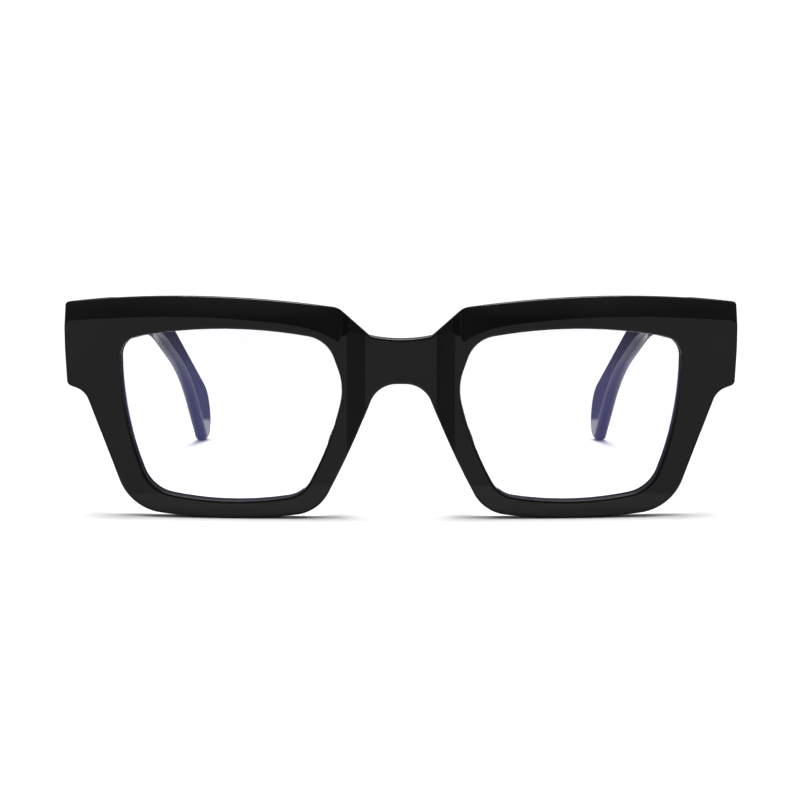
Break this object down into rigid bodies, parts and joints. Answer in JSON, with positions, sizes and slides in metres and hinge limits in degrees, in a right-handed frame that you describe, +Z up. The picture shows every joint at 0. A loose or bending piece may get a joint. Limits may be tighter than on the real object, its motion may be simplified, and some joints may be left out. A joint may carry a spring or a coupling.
{
  "type": "blue light glasses",
  "caption": "Thick square acetate eyeglasses with clear flat-power lenses, a tilted brow facet and two folding temples on knuckle hinges.",
  "frame": {"origin": "middle of the glasses' box in plan, on the surface that the lower rims and temple tips rest on", "axes": "+Z up, -Y the way the front faces and the wearer looks, +X to the wearer's left; temples open and straight back along +Y"},
  "size_m": [0.146, 0.1486, 0.0476],
  "materials": {
    "black_acetate": "hand-polished jet black acetate",
    "temple_acetate": "hand-polished jet black acetate",
    "clear_lens": "clear, with a faint blue-violet reflecting coat",
    "hinge_metal": "nickel silver, lightly brushed",
    "screw_metal": "polished steel"
  },
  "bodies": {
    "front": {"front_frame": "black_acetate", "lens_left": "clear_lens", "lens_right": "clear_lens", "nose_pad_left": "black_acetate", "nose_pad_right": "black_acetate", "hinge_front_leaf_left": "hinge_metal", "hinge_front_leaf_right": "hinge_metal", "front_hinge_screws_left": "screw_metal", "front_hinge_screws_right": "screw_metal", "hinge_screw_left": "screw_metal", "hinge_screw_right": "screw_metal"},
    "temple_left": {"temple_left": "temple_acetate", "core_wire_left": "hinge_metal", "hinge_temple_leaf_left": "hinge_metal", "temple_rivets_left": "screw_metal"},
    "temple_right": {"temple_right": "temple_acetate", "core_wire_right": "hinge_metal", "hinge_temple_leaf_right": "hinge_metal", "temple_rivets_right": "screw_metal"}
  },
  "joints": [
    {"name": "temple_left_fold", "type": "hinge", "parent": "front", "child": "temple_left", "pos_m": [0.06665, -0.06, 0.0374], "axis": [0, 0, 1], "range_deg": [0, 86]},
    {"name": "temple_right_fold", "type": "hinge", "parent": "front", "child": "temple_right", "pos_m": [-0.06665, -0.06, 0.0374], "axis": [0, 0, -1], "range_deg": [0, 80]}
  ]
}
